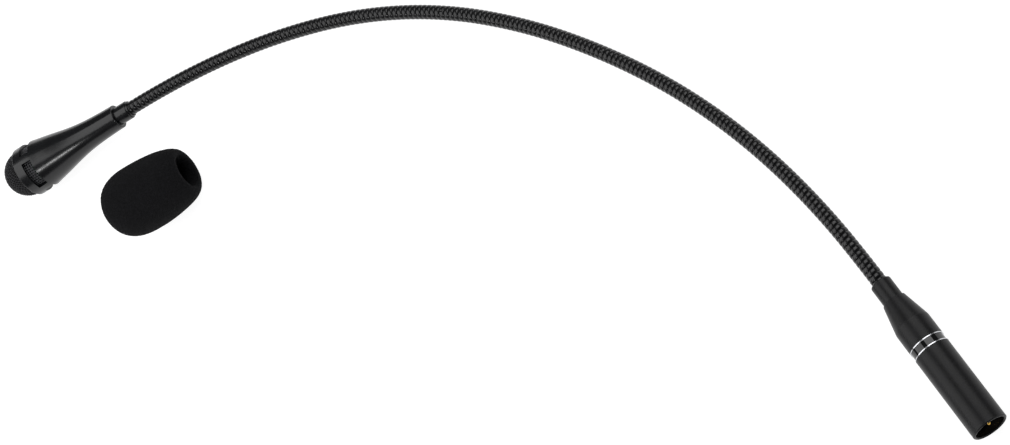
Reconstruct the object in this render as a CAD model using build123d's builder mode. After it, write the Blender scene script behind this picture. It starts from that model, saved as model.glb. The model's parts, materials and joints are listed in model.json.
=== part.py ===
"""Gooseneck podium microphone with its foam windscreen, lying on a table.

The origin is the centre of the open end of the plug barrel. +X runs from there into the
neck, +Z is up, and the barrel lies on the table, which is one barrel radius under the
origin. The neck is a chain of eleven links with ten pivots, each link a plain arc of tube.
Millimetres throughout.
"""

import os
from math import asin, cos, degrees, hypot, radians, sin

from build123d import *

# ---- Driving dimensions -------------------------------------------------------------

# Plug barrel: the shell of a three-pin audio connector
barrel_radius = 9.5
barrel_length = 47.6
barrel_wall = 1.4
rear_wall = 2.1
rim_chamfer = 0.5
key_width = 2.6
key_depth = 0.8
key_length = 9.0

# Insert and contacts
insert_depth = 13.8
insert_length = 9.6
insert_gap = 0.05
pin_radius = 1.2
pin_edge_distance = 3.35
pin_angles = (-105.0, 105.0, 0.0)
pin_recess = 3.0
pin_tail = 4.4
pin_gap = 0.03
cup_wall = 0.45
cup_depth = 2.6
spring_width = 3.0
spring_thickness = 0.3

# Trim ring between barrel and boot
ring_length = 4.8
groove_depth = 0.35
edge_thickness = 0.5
edge_proud = 0.1
spigot_gap = 0.05
spigot_length = 6.5
spigot_wall = 0.65

# Boot that covers the foot of the neck
boot_base_length = 12.0
boot_cone_length = 15.5
boot_sleeve_length = 12.0
boot_proud = 0.05
boot_step = 0.75
boot_sleeve_wall = 0.8
boot_seat_setback = 4.0
boot_cavity_cone = 6.0
boot_edge_round = 0.7
boot_cone_round = 4.0

# Screws
screw_radius = 1.0
insert_screw_length = 3.0
insert_screw_angle = 215.0
boot_screw_length = 2.0
screw_gap = 0.05
socket_hex_radius = 0.55
socket_hex_depth = 1.0
boot_screw_angles = (130.0, 230.0)

# Circuit board in the barrel
board_edge_gap = 0.6
board_length = 28.0
board_thickness = 1.2
board_start_gap = 2.2
sleeve_thickness = 0.2
sleeve_gap = 0.05
board_corner = 0.6
capacitor_places = (5.0, 20.0)
capacitor_radius = 2.0
capacitor_height = 4.4
capacitor_edge = 0.4
transistor_place = 12.5
transistor_radius = 2.3
transistor_flat = 1.3
resistor_radius = 0.8
resistor_length = 4.6
resistor_places = ((8.0, -3.6), (8.0, 0.0), (19.0, 3.6))
lead_radius = 0.25
lead_length = 1.5
wire_radius = 0.4
wire_run = 0.6
wire_inset = 0.75

# Neck
neck_radius = 4.15
cable_radius = 1.2
cable_gap = 0.5
cable_setback = 0.5
cable_in_housing = 11.0
pivot_count = 10
link_length = 52.5
pivot_gap = 0.3
neck_in_boot = 14.0
neck_in_collar = 8.0
# How far each link bends at rest, in degrees: to the left, and upwards
link_turns = (1.8, 6.6, 7.2, 7.4, 6.7, 8.4, 11.2, 11.6, 8.9, 6.3, 1.3)
link_lifts = (-1.35, -0.9, 0.2, 1.0, 0.95, 0.9, 1.1, 1.0, 0.45, -0.85, -2.7)

# Ferrules that are crimped on the ends of the neck
ferrule_wall = 0.5
ferrule_gap = 0.05
ferrule_flange_height = 1.1
ferrule_flange_length = 2.0
ferrule_flange_gap = 0.04
ferrule_tail = 5.0
ferrule_setback = 1.3
nut_thickness = 2.5
nut_corner_proud = 0.089

# Head
collar_length = 9.5
collar_wall = 0.75
collar_edge = 0.3
collar_lip_length = 1.2
collar_lip_wall = 0.75
collar_lip_edge = 0.2
housing_wall = 1.4
housing_rear_wall = 3.0
housing_length = 69.4
housing_edge_round = 0.7
housing_rear_round = 0.5
housing_rear_step = 2.6
housing_front_radius = 15.35
housing_front_straight = 7.4
# Along the flare: share of its length, and share of the growth from rear to front radius
flare_shape = ((0.0, 0.0), (0.203, 0.056), (0.387, 0.163), (0.581, 0.4), (0.766, 0.706), (0.887, 0.888),
               (1.0, 1.0))
front_bore_length = 14.4
slot_count = 4
slot_angle = 70.0
slot_roll = 47.0
slot_setback = 12.1
slot_width = 6.3
slot_corner = 0.4
slot_cut_depth = 3.0
slot_mesh_thickness = 0.4
slot_mesh_overlap = 1.8
slot_mesh_gap = 0.6
dome_inset = 1.25
dome_thickness = 0.5
dome_ahead = 0.5
dome_skirt = 3.5
grille_gap = 0.05
clamp_wall = 1.1
clamp_length = 3.0
dome_foam_thickness = 1.5
capsule_radius = 8.5
capsule_length = 9.0
capsule_behind_dome = 7.9
capsule_wall = 0.6
plate_thickness = 0.8
plate_hole_radius = 0.6
front_hole_rings = (2.8, 5.6)
back_hole_rings = (4.5,)
back_plate_depth = 3.2
back_plate_thickness = 1.0
spacer_depth = 2.2
spacer_thickness = 0.4
spacer_wall = 1.0
diaphragm_thickness = 0.1
holder_wall = 1.0
holder_length = 7.0
holder_arm_width = 3.0
holder_setback = 1.0
holder_arm_gap = 0.9
fet_board_radius = 7.4
fet_board_thickness = 1.2
fet_board_gap = 0.3
fet_board_hole = 1.0
capsule_wire_angles = (0, 120, 240)
capsule_wire_circle = 4.0
capsule_wire_radius = 0.3

# Foam windscreen, lying on the table beside the head
screen_length = 57.2
screen_radius = 20.4
screen_mouth_radius = 9.5
screen_rim_wall = 3.5
screen_rim_depth = 1.2
screen_side_wall = 7.0
screen_end_wall = 6.5
screen_neck_length = 9.0
# Points of the outside and of the hollow, as shares of their length and of their radius
screen_widest_share = 0.594
screen_side_shape = ((0.091, 0.804), (0.273, 0.941))
screen_nose_shape = ((0.818, 0.912), (0.953, 0.588))
screen_hollow_shape = ((0.434, 1.0), (0.789, 0.955))
screen_mouth_at = (410.6, 275.8)
screen_heading = 77.4

# ---- Places that follow from the sizes ----------------------------------------------

table_height = -barrel_radius
socket_radius = barrel_radius - barrel_wall
rear_bore_radius = barrel_radius - rear_wall
pin_circle_radius = socket_radius - pin_edge_distance
cup_radius = pin_radius - cup_wall
insert_start = insert_depth
insert_end = insert_start + insert_length
ring_start = barrel_length
ring_end = ring_start + ring_length
ring_radius = barrel_radius - groove_depth
edge_radius = barrel_radius + edge_proud
boot_cone_start = ring_end + boot_base_length
boot_sleeve_start = boot_cone_start + boot_cone_length
boot_end = boot_sleeve_start + boot_sleeve_length
spigot_radius = rear_bore_radius - spigot_gap
spigot_bore = spigot_radius - spigot_wall
board_width = 2 * (spigot_bore - board_edge_gap)
board_start = insert_end + pin_tail + board_start_gap
board_end = board_start + board_length
ferrule_bore = neck_radius + ferrule_gap
ferrule_radius = ferrule_bore + ferrule_wall
neck_hole_radius = ferrule_radius + ferrule_gap
neck_bore_radius = cable_radius + cable_gap
ferrule_flange_radius = ferrule_radius + ferrule_flange_height
nut_corner_radius = ferrule_flange_radius + nut_corner_proud
boot_base_radius = barrel_radius + boot_proud
boot_sleeve_radius = neck_hole_radius + boot_sleeve_wall
boot_shoulder_radius = boot_sleeve_radius + boot_step
collar_radius = neck_hole_radius + collar_wall
collar_lip_radius = neck_radius + collar_lip_wall
flare_length = housing_length - housing_front_straight
housing_rear_radius = neck_hole_radius + housing_rear_step
housing_growth = housing_front_radius - housing_rear_radius
housing_flare = [(flare_length * along, housing_rear_radius + housing_growth * out)
                 for along, out in flare_shape]
dome_radius = housing_front_radius - dome_inset
dome_centre = housing_length + dome_ahead
housing_front_bore = dome_radius - dome_thickness
front_bore_start = housing_length - front_bore_length
slot_start = housing_length - slot_setback
capsule_start = dome_centre - capsule_behind_dome
screen_widest = screen_length * screen_widest_share
screen_rim_radius = screen_mouth_radius + screen_rim_wall
screen_hollow_end = screen_length - screen_end_wall
screen_hollow_radius = screen_radius - screen_side_wall
cup_sphere_radius = neck_radius + pivot_gap

plug_axis = Axis.X
plug_plane = Plane.XZ


def forward_plane(frame):
    """The plane that holds a frame's forward direction and its up direction."""
    return Plane(origin=frame.origin, x_dir=frame.x_dir, z_dir=frame.x_dir.cross(frame.z_dir))


def cross_plane(frame, along=0.0):
    """The plane square to a frame's forward direction, some way along it, with up as its x."""
    return Plane(origin=frame.origin + frame.x_dir * along, x_dir=frame.z_dir, z_dir=frame.x_dir)


def forward_axis(frame):
    return Axis(frame.origin, frame.x_dir)


def rolled(frame, angle):
    """A frame turned about its own forward direction."""
    up = frame.z_dir.rotate(Axis((0, 0, 0), frame.x_dir), angle)
    return Plane(origin=frame.origin, x_dir=frame.x_dir, z_dir=up)


def shifted(frame, along):
    return Plane(origin=frame.origin + frame.x_dir * along, x_dir=frame.x_dir, z_dir=frame.z_dir)


class Bend:
    """One arc of the neck: it leaves a frame forwards and turns left and up by two angles."""

    def __init__(self, start, length, turn, lift):
        self.start = start
        self.length = length
        self.angle = hypot(turn, lift)
        direction = (start.z_dir * turn - start.y_dir * lift).normalized()
        inward = direction.cross(start.x_dir)
        centre = start.origin + inward * (length / radians(self.angle))
        self.axis = Axis(centre, direction)
        arm = (start.origin - centre).rotate(Axis((0, 0, 0), direction), self.angle)
        ahead = start.x_dir.rotate(Axis((0, 0, 0), direction), self.angle)
        above = start.z_dir.rotate(Axis((0, 0, 0), direction), self.angle)
        self.end = Plane(origin=centre + arm, x_dir=ahead, z_dir=above)


plug_frame = Plane(origin=(0, 0, 0), x_dir=(1, 0, 0), z_dir=(0, 0, 1))
neck_start = shifted(plug_frame, boot_end)
link_lengths = [link_length / 2] + [link_length] * (pivot_count - 1) + [link_length / 2]
bends = []
for length, turn, lift in zip(link_lengths, link_turns, link_lifts):
    bends.append(Bend(bends[-1].end if bends else neck_start, length, turn, lift))
pivots = [bend.end for bend in bends[:-1]]
collar_frame = bends[-1].end
head_frame = shifted(collar_frame, collar_length)
screen_ahead = Vector(cos(radians(screen_heading)), sin(radians(screen_heading)), 0)
screen_frame = Plane(origin=(*screen_mouth_at, table_height + screen_radius), x_dir=screen_ahead,
                     z_dir=(0, 0, 1))


def write(part, name):
    part.label = name
    export_step(part, f"parts/{name}.step")


def turned(name, frame, outline):
    """A solid of revolution about a frame's forward axis from (distance, radius) points."""
    with BuildPart() as piece:
        with BuildSketch(forward_plane(frame)):
            with BuildLine():
                Polyline(*outline, close=True)
            make_face()
        revolve(axis=forward_axis(frame))
    write(piece.part, name)
    return piece.part


def tube(name, frame, start, end, outer, inner):
    return turned(name, frame, ((start, inner), (end, inner), (end, outer), (start, outer)))


def around(angle, radius, height=0.0):
    """A point on the plug's cross section, its angle measured from straight up."""
    return Vector(height, -radius * sin(radians(angle)), radius * cos(radians(angle)))


def rod_between(start, end, radius):
    """A round rod between two points, added to the current part."""
    start, end = Vector(*start), Vector(*end)
    with BuildSketch(Plane(origin=start, z_dir=end - start)) as section:
        Circle(radius)
    extrude(section.sketch, amount=(end - start).length)


os.makedirs("parts", exist_ok=True)

# ---- Plug barrel --------------------------------------------------------------------

screw_x = insert_start + insert_length / 2
screw_way = around(insert_screw_angle, 1.0)
screw_foot = around(insert_screw_angle, barrel_radius - 0.2 - insert_screw_length, screw_x)

with BuildPart() as plug_barrel:
    with BuildSketch(plug_plane):
        with BuildLine():
            Polyline(
                (rim_chamfer, barrel_radius),
                (0, barrel_radius - rim_chamfer),
                (0, socket_radius + rim_chamfer),
                (rim_chamfer, socket_radius),
                (insert_end, socket_radius),
                (insert_end, rear_bore_radius),
                (barrel_length, rear_bore_radius),
                (barrel_length, barrel_radius),
                close=True,
            )
        make_face()
    revolve(axis=plug_axis)
    # keyway that turns the mating socket the right way round
    with BuildSketch(Plane.YZ):
        with Locations((0, socket_radius)):
            Rectangle(key_width, 2 * key_depth)
    extrude(amount=key_length, mode=Mode.SUBTRACT)
    # hole for the insert screw, on the underside
    with BuildSketch(Plane(origin=(screw_x, 0, 0), z_dir=screw_way)):
        Circle(screw_radius + screw_gap)
    extrude(amount=barrel_radius + 1, mode=Mode.SUBTRACT)
write(plug_barrel.part, "plug_barrel")

# ---- Insert, contacts and their screw -----------------------------------------------

insert_radius = socket_radius - insert_gap
pin_centres = [(-pin_circle_radius * sin(radians(angle)), -pin_circle_radius * cos(radians(angle)))
               for angle in pin_angles]
spring_base = insert_radius - 3 * spring_thickness

with BuildPart() as xlr_insert:
    with BuildSketch(Plane.YZ.offset(insert_start)):
        Circle(insert_radius)
        with Locations(*pin_centres):
            Circle(pin_radius + pin_gap, mode=Mode.SUBTRACT)
    extrude(amount=insert_length)
    fillet(edges().filter_by(GeomType.CIRCLE).sort_by(SortBy.RADIUS)[-2:].sort_by(Axis.X)[0], 0.5)
    # flat groove for the ground spring
    with BuildSketch(Plane.YZ.offset(insert_start)):
        with Locations((0, insert_radius)):
            Rectangle(spring_width + 0.4, 2 * (insert_radius - spring_base))
    extrude(amount=insert_length, mode=Mode.SUBTRACT)
    with BuildSketch(Plane(origin=screw_foot, z_dir=screw_way)):
        Circle(screw_radius + screw_gap)
    extrude(amount=barrel_radius, mode=Mode.SUBTRACT)
write(xlr_insert.part, "xlr_insert")

for number, (across, upwards) in enumerate(pin_centres, start=1):
    pin_frame = Plane(origin=(0, across, upwards), x_dir=(1, 0, 0), z_dir=(0, 0, 1))
    pin_end = insert_end + pin_tail
    with BuildPart() as pin:
        with BuildSketch(forward_plane(pin_frame)):
            with BuildLine():
                tip = CenterArc((pin_recess + pin_radius, 0), pin_radius, 90, 90)
                Polyline(tip @ 0, (pin_end, pin_radius), (pin_end, cup_radius),
                         (pin_end - cup_depth, cup_radius), (pin_end - cup_depth, 0), tip @ 1)
            make_face()
        revolve(axis=forward_axis(pin_frame))
    write(pin.part, f"pin_{number}")

with BuildPart() as ground_spring:
    with BuildSketch(Plane.XZ.offset(-spring_width / 2)):
        with BuildLine():
            Polyline(
                (insert_start + 0.6, spring_base + spring_thickness),
                (insert_start + 0.6, insert_radius - 0.05),
                (insert_start + 0.6 + spring_thickness, insert_radius - 0.05),
                (insert_start + 0.6 + spring_thickness, spring_base + spring_thickness),
                (insert_end - 0.4, spring_base + spring_thickness),
                (insert_end - 0.4, spring_base),
                (insert_start + 0.6, spring_base),
                close=True,
            )
        make_face()
    extrude(amount=spring_width)
write(ground_spring.part, "ground_spring")


def grub_screw(foot, direction, length):
    """A headless screw with a hex socket in its outer end, added to the current part."""
    with BuildSketch(Plane(origin=foot, z_dir=direction)) as shank:
        Circle(screw_radius)
    extrude(shank.sketch, amount=length)
    with BuildSketch(Plane(origin=foot + direction * length, z_dir=direction)) as drive:
        RegularPolygon(socket_hex_radius, 6)
    extrude(drive.sketch, amount=-socket_hex_depth, mode=Mode.SUBTRACT)


with BuildPart() as insert_screw:
    grub_screw(screw_foot, screw_way, insert_screw_length)
write(insert_screw.part, "insert_screw")

# ---- Trim ring and its two bright edges ---------------------------------------------

groove_start = ring_start + edge_thickness
groove_end = ring_end - edge_thickness
turned(
    "trim_ring",
    plug_frame,
    (
        (ring_start - spigot_length, spigot_bore),
        (ring_end + spigot_length, spigot_bore),
        (ring_end + spigot_length, spigot_radius),
        (groove_end, spigot_radius),
        (groove_end, ring_radius),
        (groove_start, ring_radius),
        (groove_start, spigot_radius),
        (ring_start - spigot_length, spigot_radius),
    ),
)
tube("edge_ring_front", plug_frame, ring_start, groove_start, edge_radius, rear_bore_radius)
tube("edge_ring_rear", plug_frame, groove_end, ring_end, edge_radius, rear_bore_radius)

# ---- Boot ---------------------------------------------------------------------------

seat_x = boot_sleeve_start - boot_seat_setback
seat_radius = ferrule_flange_radius + ferrule_flange_gap
boot_cavity_end = ring_end + spigot_length + boot_cavity_cone
boot_screw_x = ring_end + spigot_length / 2
boot_screw_foot = rear_bore_radius
boot_screw_points = [around(a, boot_screw_foot, boot_screw_x) for a in boot_screw_angles]
boot_screw_ways = [around(a, 1.0) for a in boot_screw_angles]

with BuildPart() as boot:
    with BuildSketch(plug_plane):
        with BuildLine():
            outline = Polyline(
                (ring_end, rear_bore_radius),
                (ring_end, boot_base_radius),
                (boot_cone_start, boot_base_radius),
                (boot_sleeve_start, boot_shoulder_radius),
                (boot_sleeve_start, boot_sleeve_radius),
                (boot_end, boot_sleeve_radius),
                (boot_end, neck_hole_radius),
                (seat_x, neck_hole_radius),
                (seat_x, seat_radius),
                (boot_cavity_end, rear_bore_radius),
                close=True,
            )
        make_face()
        fillet(vertices().group_by(Axis.X)[-1].sort_by(Axis.Y)[-1], boot_edge_round)
        fillet(vertices().filter_by_position(Axis.X, boot_cone_start - 0.1, boot_cone_start + 0.1),
               boot_cone_round)
    revolve(axis=plug_axis)
    for point, way in zip(boot_screw_points, boot_screw_ways):
        with BuildSketch(Plane(origin=(point.X, 0, 0), z_dir=way)):
            Circle(screw_radius + screw_gap)
        extrude(amount=boot_base_radius + 1, mode=Mode.SUBTRACT)
write(boot.part, "boot")

with BuildPart() as boot_screws:
    for point, way in zip(boot_screw_points, boot_screw_ways):
        grub_screw(point, way, boot_screw_length)
write(boot_screws.part, "boot_screws")

# ---- Ferrule and nut at the foot of the neck ----------------------------------------


def ferrule(name, frame, tip, seat, tail_way):
    """A flanged bush from its tip to past its seat, where tail_way is the side of the tail."""
    flange = seat + tail_way * ferrule_flange_length
    tail = flange + tail_way * ferrule_tail
    turned(
        name,
        frame,
        (
            (tip, ferrule_bore),
            (tail, ferrule_bore),
            (tail, ferrule_radius),
            (flange, ferrule_radius),
            (flange, ferrule_flange_radius),
            (seat, ferrule_flange_radius),
            (seat, ferrule_radius),
            (tip, ferrule_radius),
        ),
    )
    return flange


def hex_nut(name, frame, start, bore):
    with BuildPart() as nut:
        with BuildSketch(cross_plane(frame, start)):
            RegularPolygon(nut_corner_radius, 6)
            Circle(bore, mode=Mode.SUBTRACT)
        extrude(amount=nut_thickness)
    write(nut.part, name)


flange_x = ferrule("neck_ferrule_bottom", plug_frame, boot_end - ferrule_setback, seat_x, -1)
hex_nut("ferrule_nut_bottom", plug_frame, flange_x - nut_thickness, ferrule_radius + ferrule_gap)

# ---- Circuit board in the barrel ----------------------------------------------------

with BuildPart() as circuit_board:
    with BuildSketch(Plane.XY.offset(-board_thickness / 2)):
        with Locations((board_start + board_length / 2, 0)):
            RectangleRounded(board_length, board_width, board_corner)
    extrude(amount=board_thickness)
write(circuit_board.part, "circuit_board")

board_top = board_thickness / 2
sleeve_inner = hypot(board_width / 2, board_thickness / 2) + sleeve_gap
tube("board_sleeve", plug_frame, board_start, board_end, sleeve_inner + sleeve_thickness, sleeve_inner)

with BuildPart() as capacitors:
    with BuildSketch(Plane.XY.offset(board_top)):
        with Locations(*[(board_start + place, 0) for place in capacitor_places]):
            Circle(capacitor_radius)
    extrude(amount=capacitor_height)
    fillet(edges().group_by(Axis.Z)[-1], capacitor_edge)
write(capacitors.part, "capacitors")

with BuildPart() as transistor:
    with BuildSketch(Plane.XY.offset(board_top)):
        with Locations((board_start + transistor_place, 0)):
            Circle(transistor_radius)
            with Locations((0, -transistor_flat - transistor_radius)):
                Rectangle(2 * transistor_radius, 2 * transistor_radius, mode=Mode.SUBTRACT)
    extrude(amount=capacitor_height)
write(transistor.part, "transistor")

with BuildPart() as resistors:
    for along, across in resistor_places:
        height = -board_top - resistor_radius
        body = [(board_start + along + end * resistor_length / 2, across, height) for end in (-1, 1)]
        leads = [(board_start + along + end * (resistor_length / 2 + lead_length), across, height)
                 for end in (-1, 1)]
        rod_between(body[0], body[1], resistor_radius)
        rod_between(leads[0], body[0], lead_radius)
        rod_between(body[1], leads[1], lead_radius)
write(resistors.part, "resistors")

with BuildPart() as pin_wires:
    for across, upwards in pin_centres:
        rod_between(
            (insert_end + pin_tail - cup_depth, across, upwards),
            (insert_end + pin_tail + wire_run, across, upwards),
            wire_radius,
        )
        rod_between(
            (insert_end + pin_tail + wire_run, across, upwards),
            (board_start - wire_radius, wire_inset * across, 0),
            wire_radius,
        )
write(pin_wires.part, "pin_wires")

# ---- Neck links and the cable inside them -------------------------------------------


def ring_section(frame, outer, inner):
    """The round section of a link or a cable, ready to be swept."""
    with BuildSketch(cross_plane(frame)) as section:
        Circle(outer)
        if inner:
            Circle(inner, mode=Mode.SUBTRACT)
    return section.sketch


def bent_bar(bend, outer, inner=0.0):
    """The arc of one link, added to the current part."""
    revolve(ring_section(bend.start, outer, inner), axis=bend.axis, revolution_arc=bend.angle)


def straight_bar(frame, length, outer, inner=0.0):
    """A straight stretch after a frame or, with a negative length, before it."""
    extrude(ring_section(frame, outer, inner), amount=length)


def ball_end(frame, outer, inner):
    """The half ball on the front of a link, centred on its pivot."""
    with BuildSketch(forward_plane(frame)) as quarter:
        with BuildLine():
            bore_angle = degrees(asin(inner / outer))
            ball = CenterArc((0, 0), outer, bore_angle, 90 - bore_angle)
            Polyline(ball @ 1, (0, inner), ball @ 0)
        make_face()
    revolve(quarter.sketch, axis=forward_axis(frame))


for index, bend in enumerate(bends):
    first = index == 0
    last = index == pivot_count
    with BuildPart() as link:
        bent_bar(bend, neck_radius, neck_bore_radius)
        if first:
            straight_bar(bend.start, -neck_in_boot, neck_radius, neck_bore_radius)
        else:
            with Locations(bend.start.origin):
                Sphere(cup_sphere_radius, mode=Mode.SUBTRACT)
        if last:
            straight_bar(bend.end, neck_in_collar, neck_radius, neck_bore_radius)
        else:
            ball_end(bend.end, neck_radius, neck_bore_radius)
    write(link.part, f"neck_link_{index:02d}")

    with BuildPart() as cable:
        bent_bar(bend, cable_radius)
        if first:
            straight_bar(bend.start, board_end + cable_setback - boot_end, cable_radius)
        else:
            with Locations(bend.start.origin):
                Sphere(cup_sphere_radius, mode=Mode.SUBTRACT)
        if last:
            straight_bar(bend.end, collar_length + cable_in_housing, cable_radius)
    write(cable.part, f"cable_{index:02d}")

# ---- Collar and ferrule at the head -------------------------------------------------

turned(
    "neck_collar",
    collar_frame,
    (
        (0, ferrule_bore),
        (0, collar_lip_radius - collar_lip_edge),
        (collar_lip_edge, collar_lip_radius),
        (collar_lip_length, collar_lip_radius),
        (collar_lip_length, collar_radius - collar_edge),
        (collar_lip_length + collar_edge, collar_radius),
        (collar_length, collar_radius),
        (collar_length, neck_hole_radius),
        (collar_lip_length, neck_hole_radius),
        (collar_lip_length, ferrule_bore),
    ),
)
flange_front = ferrule("neck_ferrule_top", head_frame, collar_lip_length + collar_lip_edge - collar_length,
                       housing_rear_wall, 1)
hex_nut("ferrule_nut_top", head_frame, flange_front, ferrule_radius + ferrule_gap)

# ---- Head housing -------------------------------------------------------------------

dome_seat_start = dome_centre - dome_skirt
dome_seat_radius = dome_radius + grille_gap
inner_flare = [(along, radius - housing_wall) for along, radius in housing_flare[1:5]]

with BuildPart() as head_housing:
    with BuildSketch(forward_plane(head_frame)):
        with BuildLine():
            flare = Spline(*housing_flare, tangents=((1, 0.02), (1, 0)))
            nose = Polyline(
                flare @ 1,
                (housing_length, housing_front_radius),
                (housing_length, dome_seat_radius),
                (dome_seat_start, dome_seat_radius),
                (dome_seat_start, housing_front_bore),
                (front_bore_start, housing_front_bore),
            )
            inside = Spline(nose @ 1, *reversed(inner_flare))
            Polyline(
                inside @ 1,
                (housing_rear_wall, inner_flare[0][1]),
                (housing_rear_wall, neck_hole_radius),
                (0, neck_hole_radius),
                flare @ 0,
            )
        make_face()
        fillet(vertices().group_by(Axis.X)[-1].sort_by(Axis.Y)[-1], housing_edge_round)
        fillet(vertices().group_by(Axis.X)[0].sort_by(Axis.Y)[-1], housing_rear_round)
    revolve(axis=forward_axis(head_frame))
    for index in range(slot_count):
        roll = slot_roll + index * 360 / slot_count - slot_angle / 2
        with BuildSketch(forward_plane(rolled(head_frame, roll))):
            with Locations((slot_start + slot_width / 2, housing_front_radius)):
                RectangleRounded(slot_width, 2 * slot_cut_depth, slot_corner)
        revolve(axis=forward_axis(head_frame), revolution_arc=slot_angle, mode=Mode.SUBTRACT)
write(head_housing.part, "head_housing")

# ---- Grille, foam and clamp ---------------------------------------------------------

slot_mesh_radius = housing_front_bore - grille_gap
tube("slot_mesh", head_frame, slot_start - slot_mesh_overlap, dome_seat_start - slot_mesh_gap,
     slot_mesh_radius, slot_mesh_radius - slot_mesh_thickness)


def dome(name, outer, thickness, skirt):
    """A half-ball shell over the front of the head, with a straight skirt behind it."""
    with BuildPart() as shell:
        with BuildSketch(forward_plane(head_frame)):
            with BuildLine():
                outside = CenterArc((dome_centre, 0), outer, 0, 90)
                inside = CenterArc((dome_centre, 0), outer - thickness, 0, 90)
                Line(inside @ 0, outside @ 0)
                if skirt:
                    Polyline(outside @ 1, (dome_centre - skirt, outer),
                             (dome_centre - skirt, outer - thickness), inside @ 1)
                else:
                    Line(outside @ 1, inside @ 1)
            make_face()
        revolve(axis=forward_axis(head_frame))
    write(shell.part, name)


dome_inner_radius = dome_radius - dome_thickness - grille_gap
dome("dome_grille", dome_radius, dome_thickness, dome_skirt)
dome("dome_foam", dome_inner_radius, dome_foam_thickness, 0)
tube("grille_ring", head_frame, dome_seat_start, dome_seat_start + clamp_length, dome_inner_radius,
     dome_inner_radius - clamp_wall)

# ---- Capsule ------------------------------------------------------------------------

capsule_end = capsule_start + capsule_length
capsule_bore = capsule_radius - capsule_wall
turned(
    "capsule",
    head_frame,
    (
        (capsule_start, 0),
        (capsule_start, capsule_radius),
        (capsule_end, capsule_radius),
        (capsule_end, capsule_bore),
        (capsule_start + 2 * capsule_wall, capsule_bore),
        (capsule_start + 2 * capsule_wall, 0),
    ),
)


def drilled_plate(name, start, thickness, radius, ring_radii):
    """A round plate with a centre hole and rings of small holes."""
    with BuildPart() as plate:
        with BuildSketch(cross_plane(head_frame, start)):
            Circle(radius)
            Circle(plate_hole_radius, mode=Mode.SUBTRACT)
            for ring, ring_of_holes in enumerate(ring_radii, start=1):
                with PolarLocations(ring_of_holes, 6 * ring):
                    Circle(plate_hole_radius, mode=Mode.SUBTRACT)
        extrude(amount=thickness)
    write(plate.part, name)


plate_radius = capsule_bore - grille_gap
drilled_plate("back_plate", capsule_end - back_plate_depth, back_plate_thickness, plate_radius,
              back_hole_rings)
spacer_start = capsule_end - spacer_depth
spacer_end = spacer_start + spacer_thickness
tube("diaphragm_spacer", head_frame, spacer_start, spacer_end, plate_radius, plate_radius - spacer_wall)
turned("diaphragm", head_frame, ((spacer_end, 0), (spacer_end, plate_radius),
                                 (spacer_end + diaphragm_thickness, plate_radius),
                                 (spacer_end + diaphragm_thickness, 0)))
drilled_plate("capsule_front", capsule_end, plate_thickness, capsule_radius, front_hole_rings)

holder_start = capsule_start + holder_setback
arm_length = dome_seat_start - holder_arm_gap - holder_start
arm_reach = slot_mesh_radius - slot_mesh_thickness - grille_gap
holder_frame = rolled(head_frame, slot_roll + 180 / slot_count)

with BuildPart() as capsule_holder:
    with BuildSketch(cross_plane(holder_frame, holder_start)):
        Circle(capsule_radius + grille_gap + holder_wall)
    extrude(amount=holder_length)
    with BuildSketch(cross_plane(holder_frame, holder_start)):
        Rectangle(2 * arm_reach, holder_arm_width)
        Rectangle(holder_arm_width, 2 * arm_reach)
        Circle(arm_reach, mode=Mode.INTERSECT)
    extrude(amount=arm_length)
    with BuildSketch(cross_plane(holder_frame, holder_start)):
        Circle(capsule_radius + grille_gap)
    extrude(amount=holder_length, mode=Mode.SUBTRACT)
write(capsule_holder.part, "capsule_holder")

fet_board_end = capsule_start - fet_board_gap
fet_board_start = fet_board_end - fet_board_thickness
tube("fet_board", head_frame, fet_board_start, fet_board_end, fet_board_radius, fet_board_hole)

wire_start = cable_in_housing + capsule_wire_radius
wire_end = fet_board_start - grille_gap
with BuildPart() as capsule_wires:
    for angle in capsule_wire_angles:
        way = Vector(0, cos(radians(angle)), sin(radians(angle)))
        rear = Vector(wire_start, 0, 0) + way * (cable_radius - wire_radius)
        front = Vector(wire_end, 0, 0) + way * capsule_wire_circle
        rod_between(head_frame.from_local_coords(rear), head_frame.from_local_coords(front),
                    capsule_wire_radius)
write(capsule_wires.part, "capsule_wires")

# ---- Foam windscreen ----------------------------------------------------------------


def screen_points(shape, length, radius):
    return [(length * along, radius * out) for along, out in shape]


with BuildPart() as windscreen:
    with BuildSketch(forward_plane(screen_frame)):
        with BuildLine():
            side = Spline((0, screen_rim_radius),
                          *screen_points(screen_side_shape, screen_length, screen_radius),
                          (screen_widest, screen_radius), tangents=((0, 1), (1, 0)))
            nose = Spline(side @ 1, *screen_points(screen_nose_shape, screen_length, screen_radius),
                          (screen_length, 0), tangents=((1, 0), (0, -1)))
            hollow = Spline((screen_neck_length, screen_mouth_radius),
                            *screen_points(screen_hollow_shape, screen_hollow_end, screen_hollow_radius),
                            (screen_hollow_end, 0), tangents=((1, 0.5), (0, -1)))
            Polyline(side @ 0, (screen_rim_depth, screen_mouth_radius), hollow @ 0)
            Line(hollow @ 1, nose @ 1)
        make_face()
    revolve(axis=forward_axis(screen_frame))
write(windscreen.part, "windscreen")
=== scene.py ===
# %% [markdown]
# # Gooseneck podium microphone
#
# A neck of wound wire carries a small condenser head, and the three-pin plug at its foot goes
# into a podium. The foam windscreen is off and lies beside the head. The measured parts come
# from the CAD frame and get their finishes here. Three things are made new, because plain
# solids can't show them: the wound wire of the neck, the woven wire of the dome and slots, and
# the soft foam of the windscreen.

import json
import math

import bmesh
import bpy
from mathutils import Matrix, Vector, noise
from mathutils.geometry import interpolate_bezier

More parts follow.
